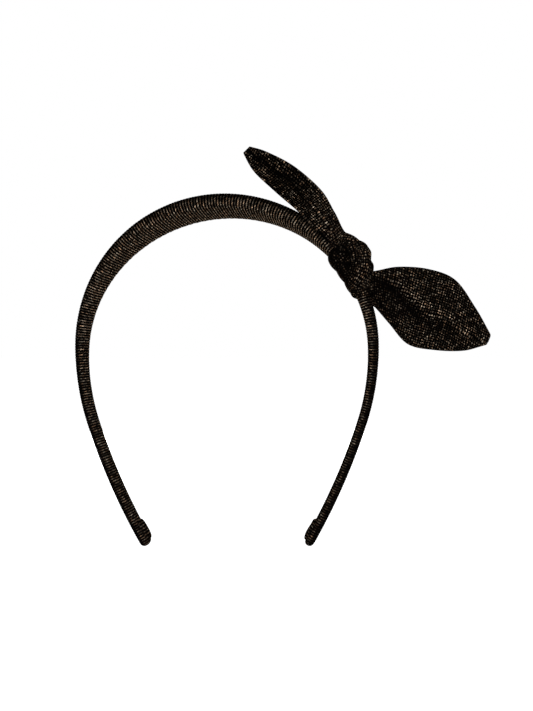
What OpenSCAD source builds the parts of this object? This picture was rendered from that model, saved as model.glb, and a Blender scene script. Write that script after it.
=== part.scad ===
// Padded hair band with a knotted sash bow.
// +Z is up as worn, +X to the right, and the front faces -Y. The origin is on the inner face
// at the top of the arch, where the band rests on the head. Sizes are in millimetres.

/* [Arch] */
// Radius of the upper half circle, measured on the outside
arch_r = 68; // [62:0.5:76]
// Radius of the curve below the widest point
shoulder_r = 112; // [100:1:130]
// Angle that the shoulder curve turns through
shoulder_turn = 18; // [14:0.5:22]
// Radius of the nearly straight lower arm
arm_r = 290; // [240:5:400]
// Length of the lower arm along its outside
arm_len = 60; // [52:1:70]

/* [Band] */
// Width of the band at the top
crown_w = 30; // [24:0.5:36]
// Thickness of the band at the top
crown_t = 8; // [6.5:0.1:10]
// Width of the band at the tips
leg_w = 8; // [7:0.25:11]
// Thickness of the band at the tips
leg_t = 4.2; // [3.9:0.1:5.5]
// Distance from the top over which the width tapers
width_reach = 125; // [100:1:150]
// Distance from the top over which the thickness tapers
thick_reach = 142; // [110:1:170]
// Height of the widest line above the inner face
edge_h = 1.6; // [1.3:0.05:1.9]
// Length over which each tip rounds off
tip_round = 2.2; // [1:0.1:4]

/* [Layers] */
// Thickness of the outer cloth
cover_t = 0.5; // [0.3:0.05:0.8]
// Thickness of the springy plastic strip
core_t = 1.4; // [1.2:0.05:1.6]
// Distance from the side of the strip to the cloth
core_side = 0.9; // [0.6:0.1:1.5]
// Clearance between one layer and the next
layer_gap = 0.15; // [0.1:0.01:0.2]
// Clearance between the foam and the domed cloth over it
foam_gap = 0.25; // [0.2:0.01:0.35]
// Clearance between the crown and each arm at the flex line
flex_gap = 0.2; // [0.1:0.05:0.4]

/* [Tip folds] */
// Length of the cloth folded in at each tip
fold_len = 10.5; // [7:0.5:14]
// Width of the folded cloth
fold_w = 6.2; // [4:0.1:6.8]
// Thickness of the folded cloth
fold_t = 1.7; // [1:0.1:2.5]
// Distance from the tip to the end of the folded cloth
fold_inset = 0.9; // [0.5:0.1:2]

/* [Knot] */
// Angle from the top to the upper edge of the knot
knot_from = 48.5; // [44:0.5:52]
// Angle that the knot covers along the band
knot_span = 21.5; // [18:0.5:25]
// Thickness of the cloth wrapped under the band
wrap_t = 1.7; // [1:0.1:2.5]
// Thickness of the wrap at its edges
wrap_edge = 0.7; // [0.5:0.05:1]
// Extra thickness of the wrap over the outside of the band
wrap_crest = 0.9; // [0:0.1:1.5]
// Height of the light folds in the wrap
wrap_fold = 0.2; // [0:0.05:0.4]
// Clearance between the wrap and the band
wrap_gap = 0.4; // [0.3:0.05:0.6]
// Clearance between the pieces of the knot
knot_gap = 0.15; // [0.1:0.01:0.3]
// Fullness of the strap that crosses the front of the knot
front_full = 1; // [0.8:0.05:1.15]
// Fullness of the strap that crosses the outside of the knot
back_full = 1; // [0.8:0.05:1.15]

/* [Bow] */
// Thickness of one layer of the sash cloth
sash_t = 0.45; // [0.3:0.05:0.7]
// Thickness of the stiffener between the layers
stiffener_t = 0.3; // [0.2:0.05:0.5]
// Clearance between each tail and the knot
tail_gap = 0.7; // [0.65:0.05:1]
// Depth of the lengthwise gutter in the upper tail
gutter_depth = 7.5; // [4:0.1:10]
// Height of the fold that runs along the lower tail
ridge_h = 3; // [1:0.1:4]
// How far the edges of the lower tail curl back at its tip
edge_curl = 1.2; // [0:0.1:3]

/* [Hidden] */

deg = 180 / PI;
arch_z = crown_t - arch_r;
arch_len = arch_r * PI / 2;
shoulder_len = shoulder_r * shoulder_turn / deg;
half_len = arch_len + shoulder_len + arm_len;
layer = cover_t + layer_gap;
core_top = layer + core_t;
pad_base = core_top + layer_gap;

// Superellipse powers of the domed top and of the nearly flat underside
dome_power = 2 / 2.2;
base_power = 2 / 4;

// Angle by which the space kept for the wrap runs past its edges
wrap_margin = 0.3;
// Straight run of the knot behind the root of each tail
root_run = 2.2;

// Steps along each sweep and round each section
crown_steps = 26;
arm_steps = 13;
cover_sides = 18;
pad_sides = 9;
core_sides = 6;
knot_steps = 10;
knot_sides = 20;
strap_sides = 12;
strap_steps = 12;
fold_sides = 6;
tail_steps = 15;
tail_cells = 10;

black_cloth = [0.09, 0.08, 0.07];
bronze_cloth = [0.16, 0.13, 0.10];
foam_grey = [0.55, 0.55, 0.55];
strip_black = [0.05, 0.05, 0.06];
stiffener_white = [0.85, 0.84, 0.8];

// ---- The line of the band ----

// Angle in degrees that the outward side has turned from straight up, at a distance from the top
function turn_at(s) =
    s < arch_len ? s / arch_r * deg
    : s < arch_len + shoulder_len ? 90 + (s - arch_len) / shoulder_r * deg
    : 90 + shoulder_turn + (s - arch_len - shoulder_len) / arm_r * deg;

function outward(s) = [sin(turn_at(s)), cos(turn_at(s))];

shoulder_centre = [arch_r - shoulder_r, arch_z];
arm_centre = shoulder_centre + (shoulder_r - arm_r) * outward(arch_len + shoulder_len);

// Point on the outside of the band, as [x, z]
function crest(s) =
    s < arch_len ? [0, arch_z] + arch_r * outward(s)
    : s < arch_len + shoulder_len ? shoulder_centre + shoulder_r * outward(s)
    : arm_centre + arm_r * outward(s);

function fade(s, reach) = abs(s) < reach ? pow(cos(90 * s / reach), 2) : 0;
function width_at(s) = leg_w + (crown_w - leg_w) * fade(s, width_reach);
function thick_at(s) = leg_t + (crown_t - leg_t) * fade(s, thick_reach);

// A section point [y, h] in space, where h is the height above the inner face.
// A negative s is on the left side.
function place(s, p) =
    let (side = s < 0 ? -1 : 1, a = abs(s), c = crest(a) - (thick_at(a) - p[1]) * outward(a))
    [side * c[0], p[0], c[1]];

function ring(s, section) = [for (p = section) place(s, p)];

// ---- Sections ----

function spow(v, power) = sign(v) * pow(abs(v), power);

// Domed section of the band, inset by a layer's depth
function band_section(s, inset, sides) =
    let (half = width_at(s) / 2 - inset, top = thick_at(s) - inset)
    [for (k = [0:sides - 1])
        let (a = 360 * k / sides, up = sin(a) >= 0, power = up ? dome_power : base_power)
        [half * spow(cos(a), power),
         up ? edge_h + (top - edge_h) * spow(sin(a), power) : edge_h + (edge_h - inset) * spow(sin(a), power)]];

// The part of that dome above a height, closed by a flat base
function pad_section(s) =
    let (half = width_at(s) / 2 - cover_t - foam_gap, top = thick_at(s) - cover_t - foam_gap,
         start = asin(pow((pad_base - edge_h) / (top - edge_h), 1 / dome_power)))
    [for (k = [0:pad_sides])
        let (a = start + (180 - 2 * start) * k / pad_sides)
        [half * spow(cos(a), dome_power), edge_h + (top - edge_h) * pow(sin(a), dome_power)]];

// The plastic strip: rounded below and flat above
function core_section(s) =
    let (half = width_at(s) / 2 - layer - core_side)
    concat(
        [[half * 0.96, core_top], [-half * 0.96, core_top]],
        [for (k = [0:core_sides])
            let (a = 180 + 180 * k / core_sides)
            [half * spow(cos(a), base_power), edge_h + (edge_h - layer) * spow(sin(a), base_power)]]);

function middle(points) = [for (i = [0:2]) [for (p = points) p[i]] * [for (p = points) 1] / len(points)];

function shrunk(points, share) =
    let (c = middle(points)) [for (p = points) c + (p - c) * share];

// ---- Closed meshes ----

function joined(lists) = [for (l = lists) for (v = l) v];

// Side faces between neighbouring rings of n points, from point number start on
function wall(start, n, rings, flip) =
    [for (i = [0:rings - 2], k = [0:n - 1])
        let (a = start + i * n + k, b = start + i * n + (k + 1) % n, c = a + n, d = b + n)
        for (f = flip ? [[a, b, c], [b, d, c]] : [[a, c, b], [b, c, d]]) f];

function lid(start, n, flip) =
    [for (k = [1:n - 2]) flip ? [start, start + k, start + k + 1] : [start, start + k + 1, start + k]];

// Solid through a list of rings
module sweep(rings) {
    n = len(rings[0]);
    m = len(rings);
    polyhedron(joined(rings), concat(wall(0, n, m, false), lid(0, n, true), lid((m - 1) * n, n, false)), 4);
}

// Hollow tube between outer and inner rings, open at both ends, or closed at its last end
module tube(outer, inner, closed_end) {
    n = len(outer[0]);
    m = len(outer);
    q = len(inner);
    inside = m * n;
    mouth = [for (k = [0:n - 1])
        let (a = k, b = (k + 1) % n, c = inside + k, d = inside + (k + 1) % n)
        for (f = [[a, b, c], [b, d, c]]) f];
    last_out = (m - 1) * n;
    last_in = inside + (q - 1) * n;
    rim = [for (k = [0:n - 1])
        let (a = last_out + k, b = last_out + (k + 1) % n, c = last_in + k, d = last_in + (k + 1) % n)
        for (f = [[a, c, b], [b, c, d]]) f];
    ends = closed_end ? concat(lid(last_out, n, false), lid(last_in, n, true)) : rim;
    polyhedron(
        concat(joined(outer), joined(inner)),
        concat(wall(0, n, m, false), wall(inside, n, q, true), mouth, ends), 4);
}

// ---- Crown ----

crown_end = arch_len - flex_gap / 2;
arm_start = arch_len + flex_gap / 2;
function crown_stations() = [for (i = [0:crown_steps]) -crown_end + 2 * crown_end * i / crown_steps];

module core_crown() {
    color(strip_black) sweep([for (s = crown_stations()) ring(s, core_section(s))]);
}

module pad_crown() {
    color(foam_grey) sweep([for (s = crown_stations()) ring(s, pad_section(s))]);
}

module cover_crown() {
    color(black_cloth) tube(
        [for (s = crown_stations()) ring(s, band_section(s, 0, cover_sides))],
        [for (s = crown_stations()) ring(s, band_section(s, cover_t, cover_sides))], false);
}

// ---- Arms: modelled on the right and mirrored to the left ----

function stations(from, to, steps) = [for (i = [0:steps]) from + (to - from) * i / steps];

core_end = half_len - tip_round;
function round_share(t) = sqrt(max(0, 1 - t * t));
tip_shares = [0.5, 0.8, 0.96];

function arm_rings(end, inset) =
    concat(
        [for (s = stations(arm_start, end - tip_round, arm_steps)) ring(s, band_section(s, inset, cover_sides))],
        [for (t = tip_shares)
            let (s = end - tip_round + tip_round * t)
            shrunk(ring(s, band_section(s, inset, cover_sides)), round_share(t))]);

module core_arm() {
    color(strip_black) sweep([for (s = stations(arm_start, core_end, arm_steps)) ring(s, core_section(s))]);
}

module pad_arm() {
    color(foam_grey) sweep([for (s = stations(arm_start, core_end, arm_steps)) ring(s, pad_section(s))]);
}

module cover_arm() {
    color(black_cloth) tube(arm_rings(half_len, 0), arm_rings(half_len - cover_t, cover_t), true);
}

// Cloth turned in over the inner face at a tip: a low pillow that bulges inwards
function fold_section(s, share) =
    [for (k = [0:fold_sides])
        let (a = 180 * k / fold_sides)
        [-fold_w / 2 * share * spow(cos(a), 0.6), -layer_gap - fold_t * share * pow(sin(a), 0.6)]];

module tip_fold() {
    end = half_len - fold_inset;
    color(black_cloth) sweep([for (t = [0.02, 0.08, 0.22, 0.45, 0.7, 0.88, 0.97])
        let (s = end - fold_len * (1 - t), share = pow(1 - pow(abs(2 * t - 1), 4), 0.5))
        ring(s, fold_section(s, share))]);
}

module core_left_arm() { mirror([1, 0, 0]) core_arm(); }
module pad_left_arm() { mirror([1, 0, 0]) pad_arm(); }
module cover_left_arm() { mirror([1, 0, 0]) cover_arm(); }
module tip_fold_left() { mirror([1, 0, 0]) tip_fold(); }
module core_right_arm() { core_arm(); }
module pad_right_arm() { pad_arm(); }
module cover_right_arm() { cover_arm(); }
module tip_fold_right() { tip_fold(); }

// ---- Knot ----

function on_arch(angle) = arch_r * angle / deg;

// How thick the wrap is at an angle a round the band and a share t of its length: fuller over
// the outside of the band, lightly folded, and rounded down to its edges
function wrap_full(a, t) =
    wrap_edge + (wrap_t - wrap_edge + wrap_crest * max(0, sin(a)) + wrap_fold * cos(540 * t + a))
    * sqrt(1 - pow(2 * t - 1, 6));

function wrap_section(s, t, grow, solid) =
    let (half = width_at(s) / 2, top = thick_at(s))
    [for (k = [0:knot_sides - 1])
        let (a = 360 * k / knot_sides, up = sin(a) >= 0, power = up ? dome_power : base_power,
             out = wrap_gap + grow + (solid ? wrap_full(a, t) : 0))
        [(half + out) * spow(cos(a), power),
         up ? edge_h + (top + out - edge_h) * spow(sin(a), power) : edge_h + (edge_h + out) * spow(sin(a), power)]];

function wrap_rings(grow, margin, solid) =
    [for (i = [0:knot_steps])
        let (t = i / knot_steps, s = on_arch(knot_from - margin + (knot_span + 2 * margin) * t))
        ring(s, wrap_section(s, t, grow, solid))];

module knot_wrap() {
    color(black_cloth) tube(wrap_rings(0, 0, true), wrap_rings(0, 0, false), false);
}

// Space that the other pieces of the knot leave free for the wrap and the band in it
module wrap_space() {
    sweep(wrap_rings(knot_gap, wrap_margin, true));
}

// The bow is laid out from the middle of the knot, as [along, across, out]: along the band towards
// the right arm, across from the wrap's front (-1), middle (0) or back (1), and out from its outside
knot_s = on_arch(knot_from + knot_span / 2);
knot_out = outward(knot_s);
knot_half = width_at(knot_s) / 2 + wrap_gap + wrap_t;
function from_knot(side, points) =
    [for (p = points)
        let (c = crest(knot_s) + p[0] * [knot_out[1], -knot_out[0]] + (p[2] + wrap_gap + wrap_t) * knot_out)
        [c[0], side * knot_half + p[1], c[1]]];

// Smooth line through hand-placed points
function blend4(a, b, c, d, t) =
    0.5 * (2 * b + (c - a) * t + (2 * a - 5 * b + 4 * c - d) * t * t + (3 * b - a - 3 * c + d) * t * t * t);
function along(points, u) =
    let (n = len(points) - 1, x = min(max(u, 0), 1) * n, i = min(floor(x), n - 1), t = x - i,
         a = i > 0 ? points[i - 1] : 2 * points[0] - points[1],
         d = i + 2 <= n ? points[i + 2] : 2 * points[n] - points[n - 1])
    blend4(a, points[i], points[i + 1], d, t);

function unit(v) = v / norm(v);

// Edges of each tail from the knot to its tip
upper_above = from_knot(-1, [[-18.8, 7.5, 1.1], [-27.4, 6, 2.3], [-38, 4, 2.1], [-52.6, 2.5, -2.8],
    [-64.7, 4.5, -9.9], [-71.3, 6.5, -15.6]]);
upper_below = from_knot(-1, [[-16, -2.5, -7.5], [-25.7, -2.1, -10.4], [-35.8, -0.5, -12.5], [-48.1, 1, -16.4],
    [-60.2, 3.5, -19.9], [-70, 5.5, -19.2]]);
lower_above = concat(
    from_knot(1, [[4.2, -6.5, 5.1]]),
    from_knot(0, [[9.6, 1.5, 13.8], [17.1, 1, 25.6], [26.9, 1, 32.6], [41.8, 0, 34.2], [55.3, 0, 33.8]]));
lower_below = concat(
    from_knot(1, [[17.6, -3.5, -3.3]]),
    from_knot(0, [[28.3, 4, -1.8], [40.7, 2, 0.6], [49.6, 1, 9.8], [56.4, 0, 20.8], [58.7, 0, 30.9]]));

// The knot ends at the clearance from the root of each tail, square to the root
function root_half(above, below) = norm(above[0] - below[0]) / 2;
function root_way(above, below) =
    let (side = unit(above[0] - below[0]), way = above[0] + below[0] - above[1] - below[1])
    unit(way - (way * side) * side);
function near_root(above, below, distance) =
    (above[0] + below[0]) / 2 + distance * root_way(above, below);
function root_facing(above, below) = unit(cross(root_way(above, below), above[0] - below[0]));

// Strap across the front: from the upper tail over the outside of the wrap and down its front
front_root = [for (d = [tail_gap, tail_gap + root_run]) near_root(upper_above, upper_below, d)];
front_route = concat(front_root, from_knot(-1, [[-9.6, 1.9, 1.4], [-5, 1, 1.7], [-1, -0.5, 0.6], [2.9, -1.9, -2.7],
    [5.8, -1.3, -6.8], [7.4, 2.1, -10.3]]));
front_size = concat([for (t = [0.8, 1.1]) [root_half(upper_above, upper_below), t]],
    front_full * [[5.4, 4], [5.4, 4.4], [5.2, 3.4], [4.8, 2.6], [4.2, 2.2], [3, 1.6]]);
upper_facing = root_facing(upper_above, upper_below);
front_facing = concat([upper_facing, upper_facing],
    [[0.6, -1, 0.5], [0.4, -1, 0.4], [0.3, -1, 0.2], [0, -1, 0], [-0.2, -1, -0.2], [-0.6, -0.8, -0.4]]);

// Strap across the outside: from the back over the wrap and under the front strap
outer_route = concat(
    from_knot(1, [[-2, 0.2, -7.5], [-5.8, 0.3, -2.6], [-6.8, -2, 2.6]]),
    from_knot(0, [[-3.8, 4.2, 5.5], [0.5, -0.4, 5.5]]),
    from_knot(-1, [[4.5, 6.1, 2.8], [7.4, 2.3, -1.7], [9.2, 0.9, -5.8]]));
outer_size = back_full * [[3, 1], [4, 1.8], [4.4, 2.6], [4.6, 3.2], [4.6, 3], [4.4, 2.6], [3.8, 2], [3, 1.4]];
outer_facing = [[-0.5, 1, -0.3], [0, 1, 0.2], [0.4, 0.8, 0.6], [0.8, 0.4, 0.6], [0.9, -0.3, 0.4],
    [0.6, -0.8, 0.1], [0.2, -1, -0.2], [0, -1, -0.4]];

// Neck of the lower tail, from behind the band round to its root
neck_route = concat(
    from_knot(1, [[1.5, 0.1, -7], [4, -0.6, -4.6], [7, -2.2, -2.6]]),
    [for (d = [tail_gap + root_run, tail_gap]) near_root(lower_above, lower_below, d)]);
neck_size = concat([[3.6, 0.9], [5, 1.3], [6.6, 1.4]],
    [for (t = [1.1, 0.8]) [root_half(lower_above, lower_below), t]]);
lower_facing = root_facing(lower_above, lower_below);
neck_facing = concat([[0.3, 1, 0.3], [0.1, 1, 0.3], [0, 0.9, 0.4]], [lower_facing, lower_facing]);

// Flattened tube along a route, with a half width and half thickness at each of its points
function strap_rings(route, sizes, facing, grow) =
    [for (i = [0:strap_steps])
        let (u = i / strap_steps, p = along(route, u),
             dir = unit(along(route, min(1, u + 0.02)) - along(route, max(0, u - 0.02))),
             side = unit(cross(along(facing, u), dir)), up = cross(dir, side), size = along(sizes, u))
        [for (k = [0:strap_sides - 1])
            let (a = 360 * k / strap_sides)
            p + side * (size[0] + grow) * cos(a) + up * (size[1] + grow) * sin(a)]];

module front_strap_body(grow) { sweep(strap_rings(front_route, front_size, front_facing, grow)); }
module outer_strap_body(grow) { sweep(strap_rings(outer_route, outer_size, outer_facing, grow)); }
module back_neck_body() { sweep(strap_rings(neck_route, neck_size, neck_facing, 0)); }

module knot_front_strap() {
    color(bronze_cloth) difference() {
        front_strap_body(0);
        wrap_space();
    }
}

module knot_outer_strap() {
    color(black_cloth) difference() {
        outer_strap_body(0);
        wrap_space();
        front_strap_body(knot_gap);
    }
}

module knot_back_neck() {
    color(black_cloth) difference() {
        back_neck_body();
        wrap_space();
        outer_strap_body(knot_gap);
    }
}

// ---- Tails ----

// Height that the gutter of the upper tail lies behind its edges
function gutter(u) = gutter_depth * pow(sin(min(180, 30 + 130 * u)), 2) * min(1, 4 * u * u);
function upper_relief(u, v) = gutter(u) * pow(4 * v * (1 - v), 0.8);

// Where the fold of the lower tail runs, as a share of the width at equal steps of its length
ridge_line = [0.1, 0.3, 0.5, 0.57, 0.64, 0.7];
function hump(x, w) = exp(-pow(x / w, 2));
function lower_relief(u, v) =
    let (r = along(ridge_line, u), fade_out = sqrt(max(0, 1 - u)) * min(1, 3 * u))
    ridge_h * fade_out * (0.7 * hump(v - r - 0.26, 0.17) - hump(v - r, 0.16)) + edge_curl * pow(2 * v - 1, 2) * u;

// Point on the middle surface of a tail: u runs from the knot to the tip, v from above to below
function leaf_point(upper, u, v) =
    let (above = upper ? upper_above : lower_above, below = upper ? upper_below : lower_below)
    along(above, u) * (1 - v) + along(below, u) * v
    + [0, upper ? upper_relief(u, v) : lower_relief(u, v), 0];

function leaf_facing(upper, u, v) =
    let (e = 0.01,
         du = leaf_point(upper, min(1, u + e), v) - leaf_point(upper, max(0, u - e), v),
         dv = leaf_point(upper, u, min(1, v + e)) - leaf_point(upper, u, max(0, v - e)))
    unit(cross(du, dv));

// Thin sheet between two offsets from the middle surface, with some cells left off at its edges
module leaf(upper, low, high, trim) {
    rows = tail_steps - 2 * trim;
    cols = tail_cells - 2 * trim;
    points = [for (off = [high, low], i = [trim:tail_steps - trim], j = [trim:tail_cells - trim])
        let (u = i / tail_steps, v = j / tail_cells)
        leaf_point(upper, u, v) + off * leaf_facing(upper, u, v)];
    wide = cols + 1;
    under = (rows + 1) * wide;
    last = rows * wide;
    sheets = [for (i = [0:rows - 1], j = [0:cols - 1])
        let (a = i * wide + j, b = a + 1, c = a + wide, d = c + 1)
        for (f = [[a, b, c], [b, d, c], [under + a, under + c, under + b], [under + b, under + c, under + d]]) f];
    sides = [for (i = [0:rows - 1])
        let (a = i * wide, c = a + wide, b = a + cols, d = b + wide)
        for (f = [[a, c, under + a], [c, under + c, under + a], [b, under + b, d], [d, under + b, under + d]]) f];
    ends = [for (j = [0:cols - 1])
        let (a = j, b = j + 1, c = last + j, d = last + j + 1)
        for (f = [[a, under + a, b], [b, under + a, under + b], [c, d, under + c], [d, under + d, under + c]]) f];
    polyhedron(points, concat(sheets, sides, ends), 4);
}

sash_low = stiffener_t / 2 + layer_gap;
sash_high = sash_low + sash_t;

module upper_tail_front() { color(bronze_cloth) leaf(true, sash_low, sash_high, 0); }
module upper_tail_back() { color(black_cloth) leaf(true, -sash_high, -sash_low, 0); }
module upper_tail_stiffener() { color(stiffener_white) leaf(true, -stiffener_t / 2, stiffener_t / 2, 1); }
module lower_tail_front() { color(bronze_cloth) leaf(false, sash_low, sash_high, 0); }
module lower_tail_back() { color(black_cloth) leaf(false, -sash_high, -sash_low, 0); }
module lower_tail_stiffener() { color(stiffener_white) leaf(false, -stiffener_t / 2, stiffener_t / 2, 1); }

core_crown();
pad_crown();
cover_crown();
core_left_arm();
pad_left_arm();
cover_left_arm();
tip_fold_left();
core_right_arm();
pad_right_arm();
cover_right_arm();
tip_fold_right();
knot_wrap();
knot_front_strap();
knot_outer_strap();
knot_back_neck();
upper_tail_front();
upper_tail_stiffener();
upper_tail_back();
lower_tail_front();
lower_tail_stiffener();
lower_tail_back();
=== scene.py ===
import math
from collections import namedtuple

import bpy
import numpy as np
from bpy.props import FloatProperty, FloatVectorProperty, IntProperty, PointerProperty
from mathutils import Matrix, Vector, noise


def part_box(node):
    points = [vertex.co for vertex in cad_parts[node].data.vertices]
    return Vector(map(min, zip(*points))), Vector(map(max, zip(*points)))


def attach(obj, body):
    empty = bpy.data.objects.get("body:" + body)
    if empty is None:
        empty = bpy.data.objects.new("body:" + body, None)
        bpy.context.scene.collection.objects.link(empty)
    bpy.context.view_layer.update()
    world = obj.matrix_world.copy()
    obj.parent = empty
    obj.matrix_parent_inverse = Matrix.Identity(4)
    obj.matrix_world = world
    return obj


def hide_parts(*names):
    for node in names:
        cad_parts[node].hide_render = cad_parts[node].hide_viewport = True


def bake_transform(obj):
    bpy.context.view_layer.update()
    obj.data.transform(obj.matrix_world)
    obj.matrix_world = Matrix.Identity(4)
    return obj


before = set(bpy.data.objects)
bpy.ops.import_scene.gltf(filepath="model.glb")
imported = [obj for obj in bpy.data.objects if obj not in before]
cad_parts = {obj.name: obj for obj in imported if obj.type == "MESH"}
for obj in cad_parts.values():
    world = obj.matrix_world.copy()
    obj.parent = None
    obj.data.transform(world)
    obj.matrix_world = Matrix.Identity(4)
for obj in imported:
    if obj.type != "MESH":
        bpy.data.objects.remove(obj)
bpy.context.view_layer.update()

bl_info = {
    "name": "Padded hair band with a knotted bow",
    "version": (1, 0, 0),
    "blender": (4, 5, 0),
    "location": "3D View > Sidebar > Hair band",
    "description": "Makes the ribbed cover of a padded hair band, its knotted sash bow and a plain stage",
    "category": "Add Mesh",
}

MM = 0.001
CROWN_LOW, CROWN_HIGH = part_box("cover_crown")


# ---- Settings ----


def length(name, description, default):
    return FloatProperty(name=name, description=description, default=default, unit="LENGTH", precision=5)


def angle(name, description, degrees):
    return FloatProperty(name=name, description=description, default=math.radians(degrees), subtype="ANGLE")


def share(name, description, default):
    return FloatProperty(name=name, description=description, default=default, min=0, max=1, subtype="FACTOR")


def power(name, default):
    return FloatProperty(name=name, description=f"Power of the {name.lower()}", default=default, unit="POWER")


def colour(name, description, default):
    return FloatVectorProperty(
        name=name, description=description, default=default, min=0, max=1, subtype="COLOR", size=3)


class BandSizes(bpy.types.PropertyGroup):
    """Sizes of the padded band"""
    arch_radius: length("Arch radius", "Radius of the upper half circle, on the outside", CROWN_HIGH.x)
    crown_thickness: length("Crown thickness", "Thickness of the band at the top", CROWN_HIGH.z)
    crown_width: length("Crown width", "Width of the band at the top", CROWN_HIGH.y - CROWN_LOW.y)
    shoulder_radius: length("Shoulder radius", "Radius of the curve below the widest point", 112 * MM)
    shoulder_turn: angle("Shoulder turn", "Angle that the shoulder curve turns through", 18)
    arm_radius: length("Arm radius", "Radius of the nearly straight lower arm", 290 * MM)
    arm_length: length("Arm length", "Length of the lower arm along its outside", 60 * MM)
    tip_width: length("Tip width", "Width of the band at the tips", 8 * MM)
    tip_thickness: length("Tip thickness", "Thickness of the band at the tips", 4.2 * MM)
    width_reach: length("Width reach", "Distance from the top over which the width tapers", 125 * MM)
    thickness_reach: length("Thickness reach", "Distance from the top over which the thickness tapers", 142 * MM)
    edge_height: length("Edge height", "Height of the widest line above the inner face", 1.6 * MM)
    tip_rounding: length("Tip rounding", "Length over which each tip rounds off", 2.2 * MM)
    rib_pitch: length("Rib pitch", "Distance from one rib of the cover to the next, on the outside", 1.44 * MM)
    rib_height: length("Rib height", "Height of the ribs of the cover", 0.16 * MM)
    crown_ribs: IntProperty(name="Crown ribs", description="Ribs from the top to each end of the crown's cover",
                            default=66, min=1)
    fold_length: length("Fold length", "Length of the cloth folded in at each tip", 10.5 * MM)
    fold_width: length("Fold width", "Width of the folded cloth", 6.2 * MM)
    fold_thickness: length("Fold thickness", "Thickness of the folded cloth", 1.3 * MM)
    fold_inset: length("Fold inset", "Distance from the tip to the end of the folded cloth", 0.9 * MM)
    stitch_pitch: length("Stitch pitch", "Distance between the stitches of the closing seam", 3.2 * MM)
    stitch_length: length("Stitch length", "Length of one stitch of the closing seam", 1.9 * MM)
    stitch_thickness: length("Stitch thickness", "Thickness of the sewing thread", 0.26 * MM)


class BowSizes(bpy.types.PropertyGroup):
    """Sizes of the sash, its knot and its two tails"""
    knot_from: angle("Knot start", "Angle from the top to the upper edge of the knot", 48.5)
    knot_span: angle("Knot span", "Angle that the knot covers along the band", 21.5)
    wrap_thickness: length("Wrap thickness", "Thickness of the cloth wrapped under the band", 1.7 * MM)
    wrap_edge: length("Wrap edge", "Thickness of the wrap at its edges", 0.7 * MM)
    wrap_crest: length("Wrap crest", "Extra thickness of the wrap over the outside of the band", 0.9 * MM)
    wrap_gap: length("Wrap clearance", "Clearance between the wrap and the band", 0.4 * MM)
    wrap_fold: length("Wrap folds", "Height of the folds in the wrap", 0.45 * MM)
    tail_half: length("Tail half thickness", "Half the thickness of a tail", 0.8 * MM)
    tail_gap: length("Root distance", "Distance from the root of a tail to the end of the knot", 0.7 * MM)
    root_run: length("Root run", "Straight run of the knot behind the root of a tail", 2.2 * MM)
    gutter_depth: length("Gutter depth", "Depth of the lengthwise gutter in the upper tail", 7.5 * MM)
    ridge_height: length("Ridge height", "Height of the fold that runs along the lower tail", 3 * MM)
    trough_depth: length("Trough depth", "Depth of the sharp trough in the upper tail", 3.2 * MM)
    crease_height: length("Crease height", "Height of the crease that leads the upper tail into the knot", 1.3 * MM)
    edge_curl: length("Edge curl", "How far the edges of the lower tail curl back at its tip", 1.2 * MM)
    pleat_height: length("Pleat height", "Height of the gathers where a tail leaves the knot", 0.55 * MM)
    strap_fold: length("Strap folds", "Height of the folds along the straps of the knot", 0.5 * MM)


class ClothLooks(bpy.types.PropertyGroup):
    """Colours and weave of the cloth"""
    ground: colour("Ground", "Colour of the black ground yarn", (0.0009, 0.0007, 0.0007))
    bronze: colour("Bronze", "Warmer colour of the metallic yarn", (0.132, 0.078, 0.045))
    pale_gold: colour("Pale gold", "Paler colour of the metallic yarn", (0.142, 0.119, 0.090))
    thread: colour("Sewing thread", "Colour of the sewing thread", (0.012, 0.010, 0.009))
    plastic: colour("Plastic", "Colour of the springy strip inside the band", (0.02, 0.02, 0.022))
    stitch_pitch: length("Stitch pitch", "Distance between the metallic stitches along a rib", 1.02 * MM)
    dot_pitch: length("Dot pitch", "Distance between the metallic dots of the bow's cloth", 1.12 * MM)
    # Share of the metallic dots given painted glints: a brighter colour, as if they caught the light
    painted_glint_share: share("Sparkle", "Share of the metallic dots that catch the light", 0.12)
    metal: share("Metal", "How metallic the metallic yarn is", 0.12)
    waver: share("Waver", "How far the rows of stitches wander, in stitches", 0.45)
    lift: length("Stitch height", "Height of the metallic stitches over the ground yarn", 0.14 * MM)


class StageSettings(bpy.types.PropertyGroup):
    """Camera, lights and floor"""
    eye: FloatVectorProperty(name="Camera", description="Place of the camera", subtype="TRANSLATION",
                             unit="LENGTH", default=(0.050, -0.310, -0.0638))
    aim_x: length("Aim", "Where the middle of the picture lies, to the right of the top of the arch", 17.5 * MM)
    picture: length("Picture height", "Height of the picture in the plane of the arch", 320 * MM)
    floor_z: length("Floor", "Height of the floor", -0.20)
    key: power("Key light", 2.7)
    fill: power("Fill light", 1.3)
    side: power("Side lights", 1.6)
    back: power("Back light", 7.0)
    overhead: power("Overhead light", 2.0)
    ambient: share("Ambient", "Strength of the light from all round", 0.12)


class HairBandSettings(bpy.types.PropertyGroup):
    """All settings of the hair band"""
    band: PointerProperty(type=BandSizes)
    bow: PointerProperty(type=BowSizes)
    cloth: PointerProperty(type=ClothLooks)
    stage: PointerProperty(type=StageSettings)


# ---- Meshes ----


def add_object(name, data):
    obj = bpy.data.objects.new(name, data)
    bpy.context.scene.collection.objects.link(obj)
    return obj


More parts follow.
